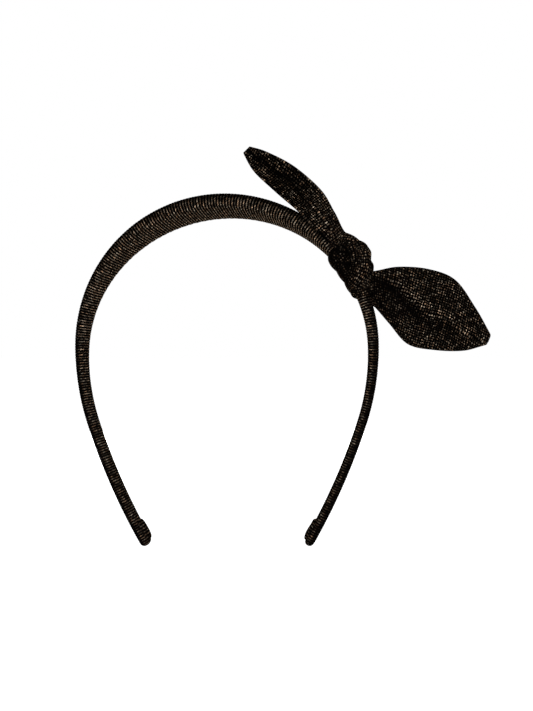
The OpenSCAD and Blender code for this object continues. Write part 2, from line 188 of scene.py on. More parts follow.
def mesh_object(name, points, faces, uv, attributes):
    """A smooth closed mesh with its faces outwards, a pair in uv for each point and its named floats."""
    mesh = bpy.data.meshes.new(name)
    mesh.from_pydata(points.reshape(-1, 3).tolist(), [], faces)
    mesh.shade_smooth()
    layer = mesh.uv_layers.new(name="weave")
    corner = np.zeros(len(mesh.loops), np.int32)
    mesh.loops.foreach_get("vertex_index", corner)
    layer.data.foreach_set("uv", uv.reshape(-1, 2)[corner].astype(np.float32).ravel())
    for label, values in attributes.items():
        found = mesh.attributes.new(label, "FLOAT", "POINT")
        found.data.foreach_set("value", np.broadcast_to(values, points.shape[:-1]).astype(np.float32).ravel())
    mesh.calc_loop_triangles()
    corners = np.zeros(len(mesh.loop_triangles) * 3, np.int32)
    mesh.loop_triangles.foreach_get("vertices", corners)
    a, b, c = points.reshape(-1, 3)[corners.reshape(-1, 3).T]
    if np.einsum("ij,ij->i", a, np.cross(b, c)).sum() < 0:
        mesh.flip_normals()
    return add_object(name, mesh)


def wall_faces(rings, sides, loop_rings=False):
    """Quads between neighbouring closed rings."""
    last = rings if loop_rings else rings - 1
    return [
        (i * sides + k, i * sides + (k + 1) % sides,
         ((i + 1) % rings) * sides + (k + 1) % sides, ((i + 1) % rings) * sides + k)
        for i in range(last) for k in range(sides)]


def lid_faces(ring, sides):
    """A fan over one ring."""
    start = ring * sides
    return [(start, start + k, start + k + 1) for k in range(1, sides - 1)]


def cloth_tube(name, points, down, across, **attributes):
    """Closed cloth through rings of points, with their distances down and across its weave."""
    rings, sides = points.shape[:2]
    faces = wall_faces(rings, sides) + lid_faces(0, sides) + lid_faces(rings - 1, sides)
    return mesh_object(name, points, faces, np.stack(np.broadcast_arrays(down, across), -1), attributes)


def distances(points):
    """Distance of each point from the first, along the line through them."""
    return np.concatenate([[0], np.cumsum(np.linalg.norm(np.diff(points, axis=0), axis=1))])


def unit(vectors):
    return vectors / np.linalg.norm(vectors, axis=-1, keepdims=True)


def softened(points, rounds):
    """Evens out a grid of closed rings, without moving the end rings."""
    for _ in range(rounds):
        points = points + 0.5 * ((np.roll(points, 1, 1) + np.roll(points, -1, 1)) / 2 - points)
        points[1:-1] += 0.5 * ((points[:-2] + points[2:]) / 2 - points[1:-1])
    return points


def smooth_step(x):
    x = np.clip(x, 0, 1)
    return x * x * (3 - 2 * x)


def signed_power(x, power):
    return np.sign(x) * np.abs(x) ** power


def path_point(points, u):
    """Smooth line through given points, at shares u of its length."""
    points = np.asarray(points, float)
    n = len(points) - 1
    x = np.clip(u, 0, 1) * n
    i = np.minimum(np.floor(x).astype(int), n - 1)
    t = (x - i)[..., None]
    ends = np.concatenate([[2 * points[0] - points[1]], points, [2 * points[n] - points[n - 1]]])
    a, b, c, d = (ends[i + k] for k in range(4))
    return 0.5 * (2 * b + (c - a) * t + (2 * a - 5 * b + 4 * c - d) * t ** 2 + (3 * b - a - 3 * c + d) * t ** 3)


# ---- The line of the band ----


class BandLine:
    """The line, width and thickness of the band, from its sizes. A distance s runs from the top."""

    def __init__(self, band):
        self.band = band
        self.arch_length = band.arch_radius * math.pi / 2
        self.shoulder_end = self.arch_length + band.shoulder_radius * band.shoulder_turn
        self.half_length = self.shoulder_end + band.arm_length
        self.arch_z = band.crown_thickness - band.arch_radius

    def turn(self, s):
        band = self.band
        return np.where(
            s < self.arch_length, s / band.arch_radius,
            np.where(s < self.shoulder_end, math.pi / 2 + (s - self.arch_length) / band.shoulder_radius,
                     math.pi / 2 + band.shoulder_turn + (s - self.shoulder_end) / band.arm_radius))

    def outward(self, s):
        turned = self.turn(s)
        return np.stack([np.sin(turned), np.cos(turned)], -1)

    def crest(self, s):
        band = self.band
        way = self.outward(s)
        arch = np.array([0, self.arch_z])
        shoulder = arch + [band.arch_radius - band.shoulder_radius, 0]
        arm = shoulder + (band.shoulder_radius - band.arm_radius) * self.outward(np.float64(self.shoulder_end))
        return np.where(
            (s < self.arch_length)[..., None], arch + band.arch_radius * way,
            np.where((s < self.shoulder_end)[..., None], shoulder + band.shoulder_radius * way,
                     arm + band.arm_radius * way))

    def taper(self, s, reach, tip, crown):
        faded = np.where(np.abs(s) < reach, np.cos(np.pi / 2 * s / reach) ** 2, 0)
        return tip + (crown - tip) * faded

    def width(self, s):
        return self.taper(s, self.band.width_reach, self.band.tip_width, self.band.crown_width)

    def thickness(self, s):
        return self.taper(s, self.band.thickness_reach, self.band.tip_thickness, self.band.crown_thickness)

    def place(self, s, across, height):
        """Points at a distance s from the top, across the band and at a height above its inner face."""
        s, across, height = np.broadcast_arrays(s, across, height)
        side, run = np.where(s < 0, -1.0, 1.0), np.abs(s)
        spot = self.crest(run) - (self.thickness(run) - height)[..., None] * self.outward(run)
        return np.stack([side * spot[..., 0], across, spot[..., 1]], -1)

    def section(self, s, turned, grow):
        """Across and height of the domed outline at an angle turned, grown outwards."""
        half = self.width(s) / 2 + grow
        top = self.thickness(s) + grow
        edge = self.band.edge_height
        up = np.sin(turned) >= 0
        power = np.where(up, 2 / DOME_EXPONENT, 2 / BASE_EXPONENT)
        across = half * signed_power(np.cos(turned), power)
        reach = np.where(up, top - edge, edge + grow)
        return across, edge + reach * signed_power(np.sin(turned), power)


# Superellipse exponents of the domed outside and of the nearly flat inner face
DOME_EXPONENT, BASE_EXPONENT = 2.2, 2.8


def even_angles(line, s, sides):
    """Angles that space points evenly round the outline at s."""
    fine = np.linspace(0, 2 * np.pi, 721)
    across, height = line.section(np.float64(s), fine, 0.0)
    run = np.concatenate([[0], np.cumsum(np.hypot(np.diff(across), np.diff(height)))])
    return np.interp(np.linspace(0, run[-1], sides + 1)[:-1], run, fine)


# How much closer the ribs are at the top than their pitch, and what each stretch adds: its start, length and share
RIB_CLOSENESS = 1.06
CLOSER_STRETCHES = ((0, 100 * MM, 0.10), (90 * MM, 70 * MM, 0.10))
RIB_STEPS = 8
TIP_RINGS = 8
MIRROR = np.array([-1, 1, 1])


def closer_ribs(runs):
    """Runs along the band, stretched so that evenly spaced ribs on them draw together towards the tips."""
    fine = np.linspace(0, 220 * MM, 441)
    closeness = RIB_CLOSENESS
    for start, reach, more in CLOSER_STRETCHES:
        closeness = closeness + more * smooth_step((fine - start) / reach)
    stretched = np.concatenate([[0], np.cumsum((closeness[1:] + closeness[:-1]) / 2 * np.diff(fine))])
    return np.sign(runs) * np.interp(np.abs(runs), fine, stretched)


def cover_painted_light(along, angles, mirrored):
    """Painted light and shade on the cover's yarn: painted shade on the shoulders of the dome and in the hollow of the
    arms, deeper on the right arm, the arms a little darker overall, and painted light on the inner face of the crown.
    """
    up, side = np.sin(angles)[None, :], smooth_step((np.abs(np.cos(angles))[None, :] - 0.2) / 0.3)
    on_arm = smooth_step((np.abs(along) - 80 * MM) / (40 * MM))
    shoulder = smooth_step((up - 0.2 + 0.26 * on_arm) / 0.25) * side
    hollow = smooth_step((-up - 0.4) / 0.3) * side * on_arm
    shine = 1.12 + 0.5 * smooth_step(-up / 0.5) * (1 - on_arm) - 0.16 * on_arm - 0.86 * shoulder
    return shine - (0.15 if mirrored else 0.65) * hollow


def cover_mesh(name, line, start, end, sides, closed_tip, mirrored):
    """Cover of one stretch of the band. It carries where each point lies along the band."""
    rounding = line.band.tip_rounding
    body_end = end - rounding if closed_tip else end
    steps = max(2, round((body_end - start) / line.band.rib_pitch * RIB_STEPS))
    runs = np.linspace(start, body_end, steps + 1)
    angles = even_angles(line, abs(start + body_end) / 2, sides)
    s_grid, a_grid = np.meshgrid(runs, angles, indexing="ij")
    points = line.place(s_grid, *line.section(np.abs(s_grid), a_grid, 0.0))
    if closed_tip:
        shares = np.sin(np.linspace(0, np.pi / 2, TIP_RINGS + 1))[1:]
        extra = []
        for t, s in zip(shares, end - rounding * (1 - shares)):
            ring = line.place(np.full(sides, s), *line.section(np.float64(s), angles, 0.0))
            middle = ring.mean(0)
            extra.append(middle + (ring - middle) * max(0.03, math.sqrt(max(0, 1 - t * t))))
            runs = np.append(runs, s)
        points = np.concatenate([points, np.array(extra)])
    girth = np.linalg.norm(np.roll(points, -1, 1) - points, axis=-1)
    around = np.concatenate([np.zeros((len(points), 1)), np.cumsum(girth, 1)[:, :-1]], 1)
    if mirrored:
        points = points * MIRROR
    along = runs[:, None]
    ribbed = np.clip((end - along) / (2 * rounding), 0, 1) if closed_tip else 1.0
    stretched = closer_ribs(along)
    cover = cloth_tube(name, points, stretched, around, along=stretched, ribbed=ribbed,
                       shine=cover_painted_light(along, angles, mirrored))
    for polygon in cover.data.polygons[-2 * (sides - 2):]:
        polygon.use_smooth = False
    return cover


# ---- Nodes ----


class Nodes:
    """Short calls for the nodes of one tree."""

    def __init__(self, tree):
        self.tree = tree

    def put(self, socket, value):
        if isinstance(value, bpy.types.NodeSocket):
            self.tree.links.new(value, socket)
        else:
            socket.default_value = value

    def add(self, kind, values=(), **settings):
        """A node with its settings, and its inputs by name or number."""
        node = self.tree.nodes.new(kind)
        for key, value in settings.items():
            setattr(node, key, value)
        for key, value in dict(values).items():
            self.put(node.inputs[key], value)
        return node

    def math(self, operation, *values):
        return self.add("ShaderNodeMath", enumerate(values), operation=operation).outputs[0]

    def plus(self, first, second):
        return self.math("ADD", first, second)

    def minus(self, first, second):
        return self.math("SUBTRACT", first, second)

    def times(self, first, second):
        return self.math("MULTIPLY", first, second)

    def seen(self):
        """1 for what the camera sees, straight or by way of a mirror or glass, and 0 for mere light."""
        path = self.add("ShaderNodeLightPath").outputs
        direct = self.math("MAXIMUM", path["Is Camera Ray"], path["Is Glossy Ray"])
        return self.math("MAXIMUM", direct, path["Is Transmission Ray"])


class Geometry(Nodes):
    """A geometry tree with a geometry input and output and the named inputs."""

    def __init__(self, name, inputs):
        super().__init__(bpy.data.node_groups.new(name, "GeometryNodeTree"))
        self.tree.is_modifier = True
        add_socket = self.tree.interface.new_socket
        add_socket("Geometry", in_out="OUTPUT", socket_type="NodeSocketGeometry")
        for label, kind in {"Geometry": "Geometry", **inputs, "Material": "Material"}.items():
            add_socket(label, in_out="INPUT", socket_type="NodeSocket" + kind)
        self.given = self.add("NodeGroupInput").outputs

    def finish(self, geometry):
        """Ends the tree with Realize Instances and Set Material."""
        real = self.add("GeometryNodeRealizeInstances", {"Geometry": geometry}).outputs["Geometry"]
        paint = self.add("GeometryNodeSetMaterial", {"Geometry": real, "Material": self.given["Material"]})
        self.add("NodeGroupOutput", {"Geometry": paint.outputs["Geometry"]})
        return self.tree


def rib_tree():
    """Raises ribs across a cover, by where each point lies along the band."""
    nodes = Geometry("Ribs", {"Rib pitch": "Float", "Rib height": "Float", "Unevenness": "Float"})
    along, ribbed = (
        nodes.add("GeometryNodeInputNamedAttribute", {"Name": name}, data_type="FLOAT").outputs["Attribute"]
        for name in ("along", "ribbed"))
    count = nodes.math("DIVIDE", along, nodes.given["Rib pitch"])
    wave = nodes.math("ABSOLUTE", nodes.math("SINE", nodes.times(count, math.pi)))
    ridge = nodes.math("POWER", wave, 0.7)
    uneven = nodes.add("ShaderNodeTexNoise", {"Scale": 420, "Detail": 1}).outputs[0]
    rough = nodes.times(nodes.minus(uneven, 0.5), nodes.given["Unevenness"])
    height = nodes.times(nodes.times(nodes.plus(ridge, rough), nodes.given["Rib height"]), ribbed)
    normal = nodes.add("GeometryNodeInputNormal").outputs["Normal"]
    lift = nodes.add("ShaderNodeVectorMath", {0: normal, "Scale": height}, operation="SCALE")
    move = nodes.add("GeometryNodeSetPosition", {"Geometry": nodes.given["Geometry"], "Offset": lift.outputs[0]})
    return nodes.finish(move.outputs["Geometry"])


def stitch_tree():
    """Lays a stitch at even distances along a line."""
    nodes = Geometry("Stitches", {
        "Stitch pitch": "Float", "Stitch length": "Float", "Thickness": "Float", "Seed": "Int"})
    given = nodes.given
    line = nodes.add("GeometryNodeMeshToCurve", {"Mesh": given["Geometry"]})
    spots = nodes.add("GeometryNodeCurveToPoints", {
        "Curve": line.outputs["Curve"], "Length": given["Stitch pitch"]}, mode="LENGTH").outputs
    thread = nodes.add("GeometryNodeMeshUVSphere", {"Segments": 8, "Rings": 6, "Radius": 0.5})
    size = nodes.add("ShaderNodeCombineXYZ", {
        "X": given["Thickness"], "Y": given["Thickness"], "Z": given["Stitch length"]})
    shape = nodes.add("GeometryNodeTransform", {"Geometry": thread.outputs["Mesh"], "Scale": size.outputs[0]})
    tilt = nodes.add("FunctionNodeRandomValue", {
        0: (-0.12, -0.12, 0), 1: (0.12, 0.12, 0), "Seed": given["Seed"]}, data_type="FLOAT_VECTOR")
    place = nodes.add("GeometryNodeInstanceOnPoints", {
        "Points": spots["Points"], "Instance": shape.outputs["Geometry"], "Rotation": spots["Rotation"]})
    turn = nodes.add("GeometryNodeRotateInstances", {
        "Instances": place.outputs["Instances"], "Rotation": tilt.outputs[0]})
    return nodes.finish(turn.outputs["Instances"])


def run_tree(obj, tree, values):
    """Runs a tree on an object and turns the result into its plain mesh."""
    modifier = obj.modifiers.new(tree.name, "NODES")
    modifier.node_group = tree
    for item in tree.interface.items_tree:
        if item.item_type == "SOCKET" and item.in_out == "INPUT" and item.name in values:
            modifier[item.identifier] = values[item.name]
    depsgraph = bpy.context.evaluated_depsgraph_get()
    made = bpy.data.meshes.new_from_object(
        obj.evaluated_get(depsgraph), preserve_all_data_layers=True, depsgraph=depsgraph)
    obj.modifiers.clear()
    obj.data = made
    return obj


# ---- Materials ----


class Shader(Nodes):
    """The nodes of one material."""

    def __init__(self, name):
        self.material = bpy.data.materials.new(name)
        self.material.use_nodes = True
        super().__init__(self.material.node_tree)
        self.bsdf = self.tree.nodes["Principled BSDF"]

    def surface(self, **values):
        """Sets inputs of the surface, such as Base_Color for its Base Color."""
        for key, value in values.items():
            self.put(self.bsdf.inputs[key.replace("_", " ")], value)
        return self.material

    def bump(self, height, distance, strength=1.0):
        values = {"Height": height, "Distance": distance, "Strength": strength}
        return self.add("ShaderNodeBump", values).outputs[0]

    def span(self, value, low, high):
        """0 below low, 1 above high and smooth between them."""
        values = {"Value": value, "From Min": low, "From Max": high}
        return self.add("ShaderNodeMapRange", values, interpolation_type="SMOOTHSTEP").outputs[0]

    def mix(self, amount, first, second):
        first, second = (
            value if isinstance(value, bpy.types.NodeSocket) else (*value, 1) for value in (first, second))
        return self.add("ShaderNodeMix", {0: amount, 6: first, 7: second}, data_type="RGBA").outputs[2]

    def uv(self):
        place = self.add("ShaderNodeUVMap", uv_map="weave").outputs[0]
        return self.add("ShaderNodeSeparateXYZ", {0: place}).outputs[:2]

    def random(self, x, y, seed):
        """Three random numbers for each cell of a grid."""
        cell = self.add("ShaderNodeCombineXYZ", {0: x, 1: y, 2: seed}).outputs[0]
        made = self.add("ShaderNodeTexWhiteNoise", {"Vector": cell}, noise_dimensions="3D")
        return self.add("ShaderNodeSeparateColor", {0: made.outputs["Color"]}).outputs

    def noise(self, scale, detail):
        place = self.add("ShaderNodeTexCoord").outputs["Object"]
        return self.add("ShaderNodeTexNoise", {"Vector": place, "Scale": scale, "Detail": detail}).outputs[0]


# How the stitches of a cloth lie and shine. waver and stray: how far a row wanders and a stitch lies off it. slant: of
# a stitch. wide and tall: half its size, as shares of a cell. thread: strength of the yarn between stitches. contrast,
# faintest and gain: how unevenly, how faintly at least and how strongly stitches catch the light.
Weave = namedtuple("Weave", "waver stray slant wide tall thread contrast faintest gain")
RIBBED = Weave(waver=0.3, stray=0.10, slant=0.16, wide=0.185, tall=0.46, thread=0.65, contrast=1.35, faintest=0.10,
               gain=1.32)
DOTTED = Weave(waver=1.0, stray=0.3, slant=0, wide=0.29, tall=0.29, thread=0, contrast=2.2, faintest=0.07, gain=1.28)
ROW_STRAY = 0.3
BARE_ROUGHNESS = 0.8
YARN_POLISH = 0.38


def cloth_material(name, looks, pitch_x, pitch_y, weave):
    """Black ground cloth with metallic yarn: threads that run along each rib, or a grid of dots."""
    shader = Shader(name)
    plus, minus, times = shader.plus, shader.minus, shader.times
    x, y = shader.uv()
    wander = times(minus(shader.noise(170, 1), 0.5), weave.waver * looks.waver)
    column = plus(shader.math("DIVIDE", x, pitch_x), wander)
    row = minus(shader.math("DIVIDE", y, pitch_y), wander)
    chance = shader.random(shader.math("FLOOR", column), shader.math("FLOOR", row), 3.0)
    at_x, at_y = (
        plus(minus(shader.math("FRACT", lane), 0.5), times(minus(lot, 0.5), stray))
        for lane, lot, stray in ((column, chance[0], weave.stray), (row, chance[1], ROW_STRAY)))
    if weave.slant:
        at_x = plus(at_x, times(at_y, weave.slant))
    far_x, far_y = (
        shader.math("POWER", shader.math("ABSOLUTE", shader.math("DIVIDE", at, half)), power)
        for at, half, power in ((at_x, weave.wide, 2.0), (at_y, weave.tall, 2.6)))
    stitch = minus(1.0, shader.span(plus(far_x, far_y), 0.25, 1.15))
    if weave.thread:
        thread = minus(1.0, shader.span(far_x, 0.1, 1.1))
        stitch = shader.math("MAXIMUM", stitch, times(thread, weave.thread))
    patch = plus(0.6, times(shader.noise(60, 2), 0.8))
    # Painted glints: a random share of the stitches gets a brighter colour, as if catching the light
    painted_glint = shader.span(chance[2], 1.0 - looks.painted_glint_share, 1.0)
    light = plus(shader.math("POWER", chance[2], weave.contrast), times(painted_glint, 0.7))
    level = plus(weave.faintest, times(times(light, patch), weave.gain))
    # Painted light and shade: a per-point attribute of each piece brightens or darkens the yarn's colour
    level = times(level, shader.add("ShaderNodeAttribute", attribute_name="shine").outputs["Fac"])
    levels = shader.add("ShaderNodeCombineXYZ", {0: level, 1: level, 2: level}).outputs[0]
    yarn = shader.mix(chance[1], looks.bronze, looks.pale_gold)
    lit = shader.add("ShaderNodeVectorMath", {0: yarn, 1: levels}, operation="MULTIPLY").outputs[0]
    fibre = shader.noise(2600, 2)
    ground = shader.mix(fibre, [0.4 * c for c in looks.ground], [1.7 * c for c in looks.ground])
    return shader.surface(
        Base_Color=shader.mix(stitch, ground, lit), Metallic=times(stitch, looks.metal),
        Roughness=minus(BARE_ROUGHNESS, times(stitch, YARN_POLISH)),
        Specular_IOR_Level=0.0, Specular_Tint=(0.30, 0.24, 0.18, 1),
        Normal=shader.bump(plus(stitch, times(fibre, 0.5)), looks.lift, 0.6))


def plain_material(name, base, roughness, grain, grain_height):
    """A plain finish with a fine grain."""
    shader = Shader(name)
    fine = shader.noise(grain, 3)
    shade = shader.mix(fine, [0.75 * c for c in base], [min(1, 1.2 * c) for c in base])
    return shader.surface(Base_Color=shade, Roughness=shader.plus(roughness, shader.times(fine, 0.12)),
                          Normal=shader.bump(fine, grain_height))


def material(kind):
    """One of the object's materials, made when it is first asked for."""
    settings = bpy.context.scene.hair_band
    looks = settings.cloth
    found = bpy.data.materials.get(kind)
    if found:
        return found
    if kind == "ribbed_cloth":
        return cloth_material(kind, looks, settings.band.rib_pitch, looks.stitch_pitch, RIBBED)
    if kind == "dotted_cloth":
        return cloth_material(kind, looks, looks.dot_pitch, looks.dot_pitch, DOTTED)
    if kind == "sewing_thread":
        return plain_material(kind, looks.thread, 0.6, 3000, 0.05 * MM)
    return plain_material(kind, looks.plastic, 0.4, 900, 0.03 * MM)


def paint(obj, kind, slot_name):
    obj.data.materials.clear()
    obj.data.materials.append(material(kind))
    return obj


# ---- The cover of the band ----


# Line of the closing seam, as an angle round the outline: just inside the rear edge
SEAM_ANGLE = math.radians(-26)
SEAM_STEP = 1.0 * MM
SEAM_STOP = 4 * MM
ARM_COVER_EXTRA = 0.8 * MM
CROWN_SIDES, ARM_SIDES = 44, 32


def ribbed_cover(name, line, start, end, sides, closed_tip, mirrored):
    band = line.band
    cover = cover_mesh(name, line, start, end, sides, closed_tip, mirrored)
    run_tree(cover, rib_tree(), {
        "Rib pitch": band.rib_pitch, "Rib height": band.rib_height, "Unevenness": 0.5,
        "Material": material("ribbed_cloth")})
    return paint(cover, "ribbed_cloth", "band_cloth")


def closing_seam(name, line, start, end, mirrored):
    """Stitches of the seam that closes the cover, just inside the rear edge of the band."""
    band = line.band
    runs = np.arange(start, end, SEAM_STEP)
    points = line.place(runs, *line.section(np.abs(runs), np.full(runs.shape, SEAM_ANGLE), band.rib_height * 0.6))
    if mirrored:
        points = points * MIRROR
    mesh = bpy.data.meshes.new(name)
    mesh.from_pydata(points.tolist(), [(i, i + 1) for i in range(len(points) - 1)], [])
    seam = run_tree(add_object(name, mesh), stitch_tree(), {
        "Stitch pitch": band.stitch_pitch, "Stitch length": band.stitch_length,
        "Thickness": band.stitch_thickness, "Seed": 5, "Material": material("sewing_thread")})
    seam.data.shade_smooth()
    return paint(seam, "sewing_thread", "band_cloth")


class HAIRBAND_OT_crown(bpy.types.Operator):
    """Make the ribbed cover of the crown and the seam that closes it"""
    bl_idname = "hairband.crown"
    bl_label = "Crown cover"

    def execute(self, context):
        line = BandLine(context.scene.hair_band.band)
        end = line.band.crown_ribs * line.band.rib_pitch
        cover = ribbed_cover("band_cover_crown", line, -end, end, CROWN_SIDES, False, False)
        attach(cover, "crown")
        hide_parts("cover_crown", "pad_crown")
        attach(closing_seam("band_seam_crown", line, -end, end, False), "crown")
        return {"FINISHED"}


class HAIRBAND_OT_arms(bpy.types.Operator):
    """Make the ribbed covers of both arms and the seams that close them"""
    bl_idname = "hairband.arms"
    bl_label = "Arm covers"

    def execute(self, context):
        line = BandLine(context.scene.hair_band.band)
        start = line.band.crown_ribs * line.band.rib_pitch
        tip = line.half_length + ARM_COVER_EXTRA
        seam_end = tip - line.band.fold_length - SEAM_STOP
        for arm, sign in (("left_arm", -1), ("right_arm", 1)):
            cover = ribbed_cover(f"band_cover_{arm}", line, start, tip, ARM_SIDES, True, sign < 0)
            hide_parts(f"cover_{arm}", f"pad_{arm}")
            seam = closing_seam(f"band_seam_{arm}", line, start, seam_end, sign < 0)
            for piece in (cover, seam):
                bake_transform(piece)
        return {"FINISHED"}


class HAIRBAND_OT_tip_folds(bpy.types.Operator):
    """Make the cloth that is turned in over the inner face at each tip"""
    bl_idname = "hairband.tip_folds"
    bl_label = "Tip folds"
    rows, sides = 40, 32
    corner_power = 0.6
    sunk_depth = 0.5 * MM

    def execute(self, context):
        line = BandLine(context.scene.hair_band.band)
        band = line.band
        t = np.linspace(0.004, 0.996, self.rows)[:, None]
        turned = np.linspace(0, 2 * np.pi, self.sides, endpoint=False)[None, :]
        full = np.sqrt(1 - np.abs(2 * t - 1) ** 5)
        crease = 1 + 0.10 * np.cos(9 * t + 2 * np.cos(turned)) * np.sin(turned) ** 2
        across = band.fold_width / 2 * full * signed_power(np.cos(turned), self.corner_power)
        raised = np.maximum(0, signed_power(np.sin(turned), self.corner_power))
        drop = band.fold_thickness * full * crease * raised
        sunk = self.sunk_depth * np.minimum(0, np.sin(turned)) * full
        s = line.half_length - band.fold_inset - band.fold_length * (1 - t)
        right = line.place(s, across, -drop - sunk)
        around = turned / (2 * np.pi) * 2.4 * band.fold_width
        # Painted shade: the folded cloth's yarn darker towards its sides
        shine = 1 - 0.45 * np.abs(np.cos(turned))
        for side, points in (("left", right * MIRROR), ("right", right)):
            fold = cloth_tube(f"tip_fold_cloth_{side}", points, s, around, shine=shine)
            paint(fold, "ribbed_cloth", "band_cloth")
            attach(fold, f"{side}_arm")
            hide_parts(f"tip_fold_{side}")
        return {"FINISHED"}


class HAIRBAND_OT_springs(bpy.types.Operator):
    """Give the springy strip inside the band its plastic"""
    bl_idname = "hairband.springs"
    bl_label = "Springy strip"

    def execute(self, context):
        for node in ("core_crown", "core_left_arm", "core_right_arm"):
            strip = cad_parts[node]
            strip.data.materials.clear()
            strip.data.materials.append(material("spring_plastic"))
        return {"FINISHED"}


# ---- The knot and the tails ----


# How far beyond the wrap, as a share of its length, the cloth on it comes down to the band
WRAP_MARGIN = 0.12
# Points deeper inside the wrap than this share of its outline aren't pushed out all the way
DEEPEST = 0.15


class BowLine:
    """Where the knot and the tails lie on the band."""

    def __init__(self, line, bow):
        self.line, self.bow = line, bow
        self.middle = line.band.arch_radius * (bow.knot_from + bow.knot_span / 2)
        self.way_out = line.outward(np.float64(self.middle))
        self.half = float(line.width(self.middle)) / 2 + bow.wrap_gap + bow.wrap_thickness

    def from_knot(self, side, points):
        """Points in space from millimetres along the band, across from a side of the wrap and out."""
        p = np.array(points, float) * MM
        along = np.array([self.way_out[1], -self.way_out[0]])
        out = p[:, 2:3] + self.bow.wrap_gap + self.bow.wrap_thickness
        spot = self.line.crest(np.float64(self.middle)) + p[:, :1] * along + out * self.way_out
        return np.stack([spot[:, 0], side * self.half + p[:, 1], spot[:, 1]], -1)

    def wrap_full(self, turned, t):
        """Thickness of the wrap at an angle round the band and a share of its length."""
        bow = self.bow
        crest = bow.wrap_crest * np.maximum(0, np.sin(turned))
        rounded = np.sqrt(np.maximum(0, 1 - np.abs(2 * t - 1) ** 6))
        fold = np.abs(np.sin(np.pi * (3.4 * t + 0.22 * np.sin(turned + 0.5) + 0.15))) ** 0.8 - 0.6
        return bow.wrap_edge + (bow.wrap_thickness - bow.wrap_edge + crest + bow.wrap_fold * fold) * rounded

    def rest_on_band(self, points, lift):
        """Pushes points out of the wrap and the band, so that cloth lies on them."""
        line, bow = self.line, self.bow
        x, y, z = points[..., 0], points[..., 1], points[..., 2] - line.arch_z
        turned = np.arctan2(x, z)
        run = turned * line.band.arch_radius
        height = np.hypot(x, z) - line.band.arch_radius + line.thickness(run)
        t = (turned - bow.knot_from) / bow.knot_span
        over = smooth_step((t + WRAP_MARGIN) / WRAP_MARGIN) * smooth_step((1 + WRAP_MARGIN - t) / WRAP_MARGIN)
        grow = bow.wrap_gap + lift + over * (bow.wrap_thickness + 0.4 * bow.wrap_crest)
        edge = line.band.edge_height
        a = np.abs(y) / (line.width(run) / 2 + grow)
        up = height - edge
        b = np.abs(up) / np.where(up > 0, line.thickness(run) + grow - edge, edge + grow)
        inside = (a ** DOME_EXPONENT + b ** DOME_EXPONENT) ** (1 / DOME_EXPONENT)
        push = np.where(inside < 1, 1 / np.maximum(inside, DEEPEST), 1.0)
        new_y, new_up = y * push, up * push
        radius = new_up + edge + line.band.arch_radius - line.thickness(run)
        return np.stack([radius * np.sin(turned), new_y, line.arch_z + radius * np.cos(turned)], -1)


# In millimetres: the upper and lower edge of each tail and the routes of the straps, as BowLine.from_knot takes them,
# and half the width and height of the straps. The facings say which way the outside of a strap looks.
UPPER_ABOVE = [[-18.8, 7.5, 1.1], [-27.4, 6, 2.0], [-38, 4, 1.5], [-52.6, 2.5, -3.5], [-64.7, 4.5, -10.4],
               [-71.3, 6.5, -15.6]]
UPPER_BELOW = [[-16, -2.5, -7.5], [-25.7, -2.1, -10.4], [-35.8, -0.5, -12.5], [-48.1, 1, -16.4],
               [-60.2, 3.5, -19.5], [-70, 5.5, -19.4]]
LOWER_ABOVE_ROOT = [[4.2, -6.5, 5.1]]
LOWER_ABOVE = [[8.1, 1.5, 14.8], [16.1, 1, 26.1], [26.4, 1, 33.9], [41.6, 0, 35.1], [56, 0, 34.6]]
LOWER_BELOW_ROOT = [[17.6, -3.5, -3.3]]
LOWER_BELOW = [[28.3, 4, -1.8], [40.5, 2, 0.6], [49.1, 1, 9.8], [55.9, 0, 20.8], [58.7, 0, 30.9]]
FRONT_ROUTE = [[-9.6, 1.9, 0.4], [-5, 1, 0.3], [-1, -0.5, -0.6], [2.7, -1.9, -3.5], [4.6, -1.3, -6.8],
               [5.4, 2.1, -9.6]]
FRONT_SIZE = [[4.9, 3.2], [4.9, 3.6], [4.9, 3.2], [4.1, 2.6], [3.2, 2.1], [2.4, 1.5]]
FRONT_FACING = [[0.6, -1, 0.5], [0.4, -1, 0.4], [0.3, -1, 0.2], [0, -1, 0], [-0.2, -1, -0.2], [-0.6, -0.8, -0.4]]
OUTER_BACK = [[-2, 0.2, -7.5], [-6.4, 0.3, -2.6], [-7, -1.6, 2.0]]
OUTER_TOP = [[-5.8, 4.2, 4.1], [-4.8, -0.4, 4.5]]
OUTER_FRONT = [[-1.9, 6.1, 2.7], [4.2, 2.3, -1.7], [8.6, 0.9, -5.8]]
OUTER_SIZE = [[3, 1], [4.4, 1.6], [5.8, 2.0], [6.2, 2.4], [6.1, 2.5], [5.4, 2.4], [4.1, 1.8], [3, 1.4]]
OUTER_FACING = [[-0.5, 1, -0.3], [0, 1, 0.2], [0.4, 0.8, 0.6], [0.8, 0.4, 0.6], [0.9, -0.3, 0.4],
                [0.6, -0.8, 0.1], [0.2, -1, -0.2], [0, -1, -0.4]]
NECK_ROUTE = [[7, -2.2, -2.6], [4, -0.6, -4.6], [1.5, 0.1, -7]]
NECK_SIZE = [[6.2, 1.4], [4.8, 1.3], [3.2, 0.9]]
NECK_FACING = [[0, 0.9, 0.4], [0.1, 1, 0.3], [0.3, 1, 0.3]]
# Where the fold of the lower tail lies across it, at even steps from its root to its tip
RIDGE_LINE = [0.1, 0.3, 0.5, 0.57, 0.64, 0.7]


def hump(x, width):
    return np.exp(-((x / width) ** 2))


def upper_relief(bow, u, v):
    """Gutter that runs along the upper tail, with a sharp trough towards the tip."""
    bend = np.sin(np.radians(np.minimum(180, 30 + 130 * u))) ** 2 * np.minimum(1, 4 * u * u)
    trough = hump(v - 0.45, 0.13) * smooth_step((u - 0.35) / 0.25) * (1 - 0.5 * u)
    crease = hump(v - 0.52, 0.10) * smooth_step(u / 0.1) * smooth_step((0.5 - u) / 0.2)
    return bow.gutter_depth * bend * (4 * v * (1 - v)) ** 0.8 + bow.trough_depth * trough - bow.crease_height * crease


